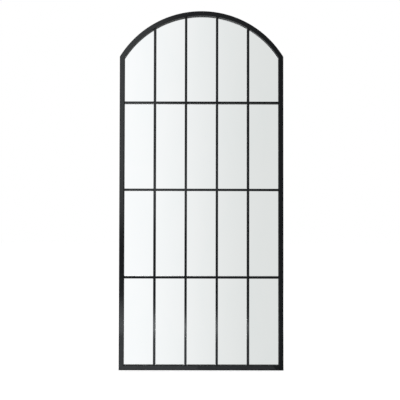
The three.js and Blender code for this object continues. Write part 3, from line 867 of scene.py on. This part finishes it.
def make_button_mesh():
    """A flat turn button that reaches to +X from its pivot hole at the origin."""
    bm = bmesh.new()
    radius = BUTTON_WIDTH / 2
    reach = FRAME_FACE / 2 + SHEET_CLEARANCE + BUTTON_LAP - radius
    start = bm.verts.new((0, 0, radius))
    half_turn = {"axis": -Y_AXIS, "angle": pi, "steps": BUTTON_END_STEPS}
    bmesh.ops.spin(bm, geom=[start], **half_turn)
    far = bm.verts.new((reach, 0, -radius))
    bmesh.ops.spin(bm, geom=[far], cent=(reach, 0, 0), **half_turn)
    near_end = min((v for v in bm.verts if v.co.x < reach / 2), key=lambda v: v.co.z)
    far_end = max((v for v in bm.verts if v.co.x > reach / 2), key=lambda v: v.co.z)
    bm.edges.new((near_end, far))
    bm.edges.new((far_end, start))
    hole = bm.verts.new((SCREW_RADIUS + SCREW_PLAY, 0, 0))
    bmesh.ops.spin(
        bm, geom=[hole], axis=Y_AXIS, angle=2 * pi, steps=BUTTON_HOLE_STEPS, use_merge=True
    )
    bmesh.ops.remove_doubles(bm, verts=bm.verts, dist=MERGE_DISTANCE)
    faces = faces_of(
        bmesh.ops.triangle_fill(bm, edges=bm.edges[:], use_beauty=True, normal=Y_AXIS)["geom"]
    )
    draw_out(bm, faces, Y_AXIS * BUTTON_THICKNESS)
    bmesh.ops.recalc_face_normals(bm, faces=bm.faces)
    rims = [
        e
        for e in bm.edges
        if len(e.link_faces) == 2
        and abs(e.link_faces[0].normal.y - e.link_faces[1].normal.y) > FACING
    ]
    bevel(bm, rims, BUTTON_EDGE, BUTTON_EDGE_PIECES)
    return finish_mesh(bm, "turn_button", [ZINC])


def add_screw(screw_mesh, name, place, turns, index):
    """Drives a screw in at a place. Its recess stops at a turn of its own."""
    first, step = turns
    turned = Matrix.Rotation(radians(first + step * index), 4, "Y")
    mesh = placed(screw_mesh, name, Matrix.Translation(place) @ turned)
    add_piece(f"{name}_cross_head", mesh, "mirror_frame", "zinc_plate", name)


def make_turn_buttons(screw_mesh):
    button_mesh = make_button_mesh()
    button_y = REAR_Y + BUTTON_PLAY
    head_y = button_y + BUTTON_THICKNESS + SCREW_PLAY
    for index, (name, x, z, reach) in enumerate(button_places()):
        turned = Matrix.Rotation(atan2(-reach.z, reach.x), 4, "Y")
        place = Matrix.Translation((x, button_y, z)) @ turned
        button = f"turn_button_{name}"
        add_piece(
            f"{button}_plated", placed(button_mesh, button, place), button, "zinc_plate", button
        )
        add_screw(screw_mesh, f"pivot_screw_{name}", (x, head_y, z), PIVOT_SCREW_TURNS, index)


def make_strap_mesh():
    """The hanger's strap, flat on y = 0 below a rolled eye whose centre is at z = 0."""
    bm = bmesh.new()
    bmesh.ops.scale(bm, vec=(STRAP_WIDTH, STRAP_THICKNESS, 1), verts=flat_square(bm))
    move(bm, y=STRAP_THICKNESS / 2)
    bmesh.ops.spin(
        bm,
        geom=bm.faces[:] + bm.edges[:] + bm.verts[:],
        cent=(0, EYE_OUTER_RADIUS, 0),
        axis=-X_AXIS,
        angle=pi - EYE_END_ANGLE,
        steps=STRAP_ROLL_STEPS,
    )
    bmesh.ops.recalc_face_normals(bm, faces=bm.faces)
    foot = [f for f in bm.faces if f.normal.z < -FACING and abs(f.calc_center_median().z) < ON_LINE]
    foot = [f for f in foot if f.calc_center_median().y < STRAP_THICKNESS]
    draw_out(bm, foot, -Z_AXIS * STRAP_LENGTH)
    bmesh.ops.delete(bm, geom=[f for f in foot if f.is_valid], context="FACES_ONLY")
    bmesh.ops.recalc_face_normals(bm, faces=bm.faces)
    low = min(v.co.z for v in bm.verts)
    corners = [
        e
        for e in bm.edges
        if all(abs(v.co.z - low) < ON_LINE for v in e.verts)
        and abs(e.verts[0].co.x - e.verts[1].co.x) < ON_LINE
    ]
    bevel(bm, corners, STRAP_WIDTH / 2 - STRAP_END_FLAT, STRAP_END_PIECES)
    bmesh.ops.recalc_face_normals(bm, faces=bm.faces)
    rims = [
        e
        for e in bm.edges
        if len(e.link_faces) == 2 and e.calc_face_angle(0) > SHARP_ANGLE
    ]
    bevel(bm, rims, STRAP_EDGE, STRAP_EDGE_PIECES)
    return finish_mesh(bm, "hanger_strap", [ZINC])


def bend_on(bm, face, centre, angle):
    """Carries a wire's end face round a bend, and gives its new end face."""
    made = bmesh.ops.spin(
        bm,
        geom=[face, *face.edges, *face.verts],
        cent=centre,
        axis=Y_AXIS,
        angle=angle,
        steps=int(angle / WIRE_BEND_STEP),
    )["geom_last"]
    return faces_of(made)[0]


def run_on(bm, face, along):
    """Carries a wire's end face straight on, and gives its new end face."""
    made = bmesh.ops.extrude_face_region(bm, geom=[face])["geom"]
    bmesh.ops.translate(bm, vec=along, verts=verts_of(made))
    return faces_of(made)[0]


def make_ring_mesh():
    """The D-ring of bent wire, which hangs below its straight side along X at z = 0."""
    bm = bmesh.new()
    bmesh.ops.create_circle(bm, cap_ends=True, radius=RING_WIRE_RADIUS, segments=WIRE_SIDES)
    turn(bm, pi / 2, "Y")
    move(bm, x=RING_SPLIT / 2)
    corner_x = RING_HALF_WIDTH - RING_CORNER_RADIUS
    face = bm.faces[:][0]
    face = run_on(bm, face, X_AXIS * (corner_x - RING_SPLIT / 2))
    face = bend_on(bm, face, (corner_x, 0, -RING_CORNER_RADIUS), pi / 2)
    face = run_on(bm, face, -Z_AXIS * RING_LEG)
    face = bend_on(bm, face, (0, 0, -RING_CORNER_RADIUS - RING_LEG), pi)
    face = run_on(bm, face, Z_AXIS * RING_LEG)
    face = bend_on(bm, face, (-corner_x, 0, -RING_CORNER_RADIUS), pi / 2)
    run_on(bm, face, X_AXIS * (corner_x - RING_SPLIT / 2))
    inside = [f for f in bm.faces if all(len(e.link_faces) > 2 for e in f.edges)]
    bmesh.ops.delete(bm, geom=inside, context="FACES_ONLY")
    return finish_mesh(bm, "hanger_ring", [WIRE_ZINC])


def make_hangers(screw_mesh):
    strap_mesh, ring_mesh = make_strap_mesh(), make_ring_mesh()
    for side, sign in SIDES.items():
        x = sign * TUBE_LINE_X
        strap, ring = f"hanger_strap_{side}", f"hanger_ring_{side}"
        mesh = placed(strap_mesh, strap, Matrix.Translation((x, REAR_Y, PIVOT_Z)))
        add_piece(f"{strap}_plated", mesh, "mirror_frame", "zinc_plate", strap)
        pivot = (x, REAR_Y + EYE_OUTER_RADIUS, PIVOT_Z)
        mesh = placed(ring_mesh, ring, Matrix.Translation(pivot))
        add_piece(f"{ring}_wire", mesh, ring, "zinc_plate", ring)
        for index, drop in enumerate(STRAP_SCREW_DROPS, start=1):
            place = (x, REAR_Y + STRAP_THICKNESS, PIVOT_Z - drop)
            add_screw(screw_mesh, f"strap_screw_{side}_{index}", place, STRAP_SCREW_TURNS, index)


def make_bumpers():
    """Tapered rubber pads with a rounded rim and a shallow moulded dish in the face."""
    profile = [(0, 0), (BUMPER_RADIUS, 0)]
    for step in range(BUMPER_RIM_STEPS + 1):
        angle = step / BUMPER_RIM_STEPS * pi / 2
        profile.append(
            (
                BUMPER_FACE_RADIUS + BUMPER_EDGE_RADIUS * cos(angle),
                BUMPER_HEIGHT - BUMPER_EDGE_RADIUS * (1 - sin(angle)),
            )
        )
    for radius, share in BUMPER_DISH:
        profile.append((radius, BUMPER_HEIGHT - share * BUMPER_DISH_DEPTH))
    bm = bmesh.new()
    lathe(bm, profile, BUMPER_STEPS)
    bumper_mesh = finish_mesh(bm, "wall_bumper", [RUBBER])
    heights = {"lower": BUMPER_CORNER_DISTANCE, "upper": SPRING_Z - BUMPER_CORNER_DISTANCE}
    for side, sign in SIDES.items():
        for level, z in heights.items():
            name = f"wall_bumper_{side}_{level}"
            mesh = placed(bumper_mesh, name, Matrix.Translation((sign * TUBE_LINE_X, REAR_Y, z)))
            add_piece(f"{name}_moulded", mesh, "mirror_frame", "bumper_rubber", name)


# ---- The whole mirror ---------------------------------------------------------------------

coated = [make_stile(side, sign) for side, sign in SIDES.items()]
coated += [make_bottom_rail(), make_arch_head()]
coated += [make_upright(index) for index in range(1, PANE_COLUMNS)]
coated += [
    make_cross_bar(row, column)
    for row in range(1, PANE_ROWS)
    for column in range(PANE_COLUMNS)
]
mirror = make_sheet(
    "mirror_sheet", "mirror_glass", "silvered_glass",
    MIRROR_Y, MIRROR_THICKNESS, GLASS_ARRIS, GLASS_ARRIS_PIECES, SILVER, GLASS_EDGE,
)
make_sheet(
    "fibreboard_sheet", "backing_board", "fibreboard",
    BOARD_Y, BOARD_THICKNESS, BOARD_ROUNDING, BOARD_ROUNDING_PIECES, BOARD_FACE, BOARD_EDGE,
)
coated.append(make_glazing_bead())
screw_mesh = make_screw_mesh()
make_turn_buttons(screw_mesh)
make_hangers(screw_mesh)
make_bumpers()


# ---- Studio -------------------------------------------------------------------------------

WHITE = (1.0, 1.0, 1.0, 1)
AMBIENT_LIGHT = 0.55
SURROUND_FADE = (-0.122, 0.108)  # the part along X of the directions between which it fades
SURROUND_LEFT = WHITE
SURROUND_RIGHT = (0.768, 0.775, 0.76, 1)
FLOOR_SIZE = 30.0
FLOOR_COLOUR = (0.82, 0.82, 0.82, 1)
FLOOR_LIFT = 0.56  # light added where the camera sees the floor

# Place, width and radiance of the square soft boxes
STUDIO_AIM = (0, 0, 0.9)
STUDIO_LAMPS = {
    "key": ((-2.3, -2.7, 2.6), 1.5, 4.0),
    "fill": ((2.6, -2.2, 2.4), 1.2, 1.2),
    "back": ((1.6, 2.9, 2.4), 1.6, 3.0),
}

# The other lamps light only the coated pieces and the bead. They are a fit to the tone
# along each member, not a copy of a real room.
# Screens and strips: left, right, low and high edge, and radiance
SCREEN_Y = -4.6
SCREEN_TOP = 3.5
SCREEN_SPLIT = 1.35
SCREENS = {
    "screen_edge_high": (-1.5, -0.73, SCREEN_SPLIT, SCREEN_TOP, 5.3),
    "screen_edge_low": (-1.5, -0.73, 0.7, SCREEN_SPLIT, 4.3),
    "screen_left_high": (-0.73, -0.38, SCREEN_SPLIT, SCREEN_TOP, 3.9),
    "screen_left_low": (-0.73, -0.38, 0.72, SCREEN_SPLIT, 4.8),
    "screen_middle_high": (-0.38, 0.0, SCREEN_SPLIT, SCREEN_TOP, 0.6),
    "screen_middle_low": (-0.38, 0.0, 0.74, SCREEN_SPLIT, 3.9),
    "screen_right_high": (0.0, 0.74, SCREEN_SPLIT, SCREEN_TOP, 0.7),
    "screen_right_low": (0.0, 0.4, 0.8, SCREEN_SPLIT, 1.9),
    "screen_far_right_low": (0.4, 0.74, 0.84, SCREEN_SPLIT, 1.1),
}
STRIP_Y = -1.0
STRIP_FOOT = 0.008
STRIPS = {
    "strip_edge": (-0.6, -0.42, STRIP_FOOT, 0.128, 8.4),
    "strip_left": (-0.42, -0.2, STRIP_FOOT, 0.128, 19.0),
    "strip_middle": (-0.2, 0.0, STRIP_FOOT, 0.104, 15.5),
    "strip_right": (0.0, 0.2, STRIP_FOOT, 0.108, 14.5),
    "strip_far_right": (0.2, 0.4, STRIP_FOOT, 0.096, 11.0),
    "strip_corner": (-0.62, -0.45, 0.13, 0.215, 5.8),
}

# The lit floor just in front: left edge, right edge and radiance
FLOOR_GLOW_DEPTH = 0.85
FLOOR_GLOW_LIFT = 0.004
FLOOR_GLOWS = {
    "floor_edge": (-0.65, -0.33, 3.7),
    "floor_left": (-0.33, -0.02, 3.3),
    "floor_right": (-0.02, 0.37, 1.9),
}

CAMERA_PLACE = (-0.0067, -3.536, 0.7775)
CAMERA_PITCH = radians(1.163)
CAMERA_ROLL = radians(0.103)
CAMERA_LENS = 63.3
CAMERA_SENSOR = 36


def only_rays(tree, *kinds):
    """1 for these kinds of ray, and 0 for all others."""
    path = tree.nodes.new("ShaderNodeLightPath")
    total = path.outputs[kinds[0]]
    for kind in kinds[1:]:
        add = tree.nodes.new("ShaderNodeMath")
        add.operation, add.use_clamp = "ADD", True
        tree.links.new(total, add.inputs[0])
        tree.links.new(path.outputs[kind], add.inputs[1])
        total = add.outputs["Value"]
    return total


def make_world():
    """Plain ambient light, and for sheen a white surround that turns light grey on the right."""
    world = bpy.data.worlds.new("studio")
    world.use_nodes = True
    bpy.context.scene.world = world
    tree = world.node_tree
    tree.nodes.clear()
    new, join = tree.nodes.new, tree.links.new

    ambient, seen, mirrored = (new("ShaderNodeBackground") for _ in range(3))
    ambient.inputs["Color"].default_value = WHITE
    ambient.inputs["Strength"].default_value = AMBIENT_LIGHT
    direction = new("ShaderNodeTexCoord").outputs["Generated"]
    split = new("ShaderNodeSeparateXYZ")
    join(direction, split.inputs["Vector"])
    fade = new("ShaderNodeMapRange")
    fade.interpolation_type = "SMOOTHSTEP"
    fade.inputs["From Min"].default_value = SURROUND_FADE[0]
    fade.inputs["From Max"].default_value = SURROUND_FADE[1]
    join(split.outputs["X"], fade.inputs["Value"])
    tone = new("ShaderNodeMix")
    tone.data_type = "RGBA"
    tone.inputs[6].default_value = SURROUND_LEFT
    tone.inputs[7].default_value = SURROUND_RIGHT
    join(fade.outputs["Result"], tone.inputs["Factor"])
    join(tone.outputs[2], mirrored.inputs["Color"])
    seen.inputs["Color"].default_value = WHITE

    reflected = new("ShaderNodeMixShader")
    join(only_rays(tree, "Is Glossy Ray", "Is Transmission Ray"), reflected.inputs[0])
    join(ambient.outputs[0], reflected.inputs[1])
    join(mirrored.outputs[0], reflected.inputs[2])
    all_rays = new("ShaderNodeMixShader")
    join(only_rays(tree, "Is Camera Ray"), all_rays.inputs[0])
    join(reflected.outputs[0], all_rays.inputs[1])
    join(seen.outputs[0], all_rays.inputs[2])
    out = new("ShaderNodeOutputWorld")
    join(all_rays.outputs[0], out.inputs["Surface"])


def make_floor():
    """A plain white floor that keeps the soft shadow, and doesn't show in the mirror."""
    bm = bmesh.new()
    bmesh.ops.create_grid(bm, x_segments=1, y_segments=1, size=FLOOR_SIZE / 2)
    mesh = bpy.data.meshes.new("studio_floor")
    bm.to_mesh(mesh)
    bm.free()
    floor = bpy.data.objects.new("studio_floor", mesh)
    bpy.context.scene.collection.objects.link(floor)
    floor.visible_glossy = False
    material = bpy.data.materials.new("studio_floor_paint")
    material.use_nodes = True
    tree = material.node_tree
    paint = tree.nodes["Principled BSDF"]
    paint.inputs["Base Color"].default_value = FLOOR_COLOUR
    paint.inputs["Roughness"].default_value = 1.0
    paint.inputs["Specular IOR Level"].default_value = 0.0
    paint.inputs["Emission Color"].default_value = WHITE
    lift = tree.nodes.new("ShaderNodeMath")
    lift.operation = "MULTIPLY"
    lift.inputs[1].default_value = FLOOR_LIFT
    tree.links.new(only_rays(tree, "Is Camera Ray", "Is Transmission Ray"), lift.inputs[0])
    tree.links.new(lift.outputs["Value"], paint.inputs["Emission Strength"])
    mesh.materials.append(material)


def make_lamp(name, place, target, width, height, radiance, lit=None):
    """A soft box that faces a point. It lights the pieces in `lit`, or else all but the glass,
    which would show it as a white patch."""
    light = bpy.data.lights.new(name, "AREA")
    light.shape = "RECTANGLE"
    light.size, light.size_y = width, height
    light.energy = radiance * pi * width * height
    lamp = bpy.data.objects.new(name, light)
    bpy.context.scene.collection.objects.link(lamp)
    lamp.location = place
    lamp.rotation_euler = (Vector(target) - Vector(place)).to_track_quat("-Z", "Y").to_euler()
    lamp.visible_camera = False
    group = bpy.data.collections.new(f"{name}_lights")
    for piece in lit or [mirror]:
        group.objects.link(piece)
    if lit is None:
        group.collection_objects[0].light_linking.link_state = "EXCLUDE"
    lamp.light_linking.receiver_collection = group


def make_screen(name, y, left, right, low, high, radiance):
    """A lit screen in front of the mirror, whose sheen only the coated steel and bead take."""
    x, z = (left + right) / 2, (low + high) / 2
    make_lamp(name, (x, y, z), (x, 0, z), right - left, high - low, radiance, coated)


def make_floor_glow(name, left, right, radiance):
    """The lit floor just in front, facing up, as the coated steel's sheen shows it."""
    x, y, z = (left + right) / 2, FRONT_Y - FLOOR_GLOW_DEPTH / 2, FLOOR_GLOW_LIFT
    make_lamp(name, (x, y, z), (x, y, 1), right - left, FLOOR_GLOW_DEPTH, radiance, coated)


def make_camera():
    data = bpy.data.cameras.new("camera")
    data.lens = CAMERA_LENS
    data.sensor_width = CAMERA_SENSOR
    camera = bpy.data.objects.new("camera", data)
    bpy.context.scene.collection.objects.link(camera)
    camera.location = CAMERA_PLACE
    facing = Matrix.Rotation(pi / 2 + CAMERA_PITCH, 3, "X") @ Matrix.Rotation(CAMERA_ROLL, 3, "Z")
    camera.rotation_euler = facing.to_euler()
    bpy.context.scene.camera = camera


make_world()
make_floor()
for name, (place, width, radiance) in STUDIO_LAMPS.items():
    make_lamp(name, place, STUDIO_AIM, width, width, radiance)
for name, row in SCREENS.items():
    make_screen(name, SCREEN_Y, *row)
for name, row in STRIPS.items():
    make_screen(name, STRIP_Y, *row)
for name, row in FLOOR_GLOWS.items():
    make_floor_glow(name, *row)
make_camera()
bpy.context.scene.view_settings.view_transform = "Standard"
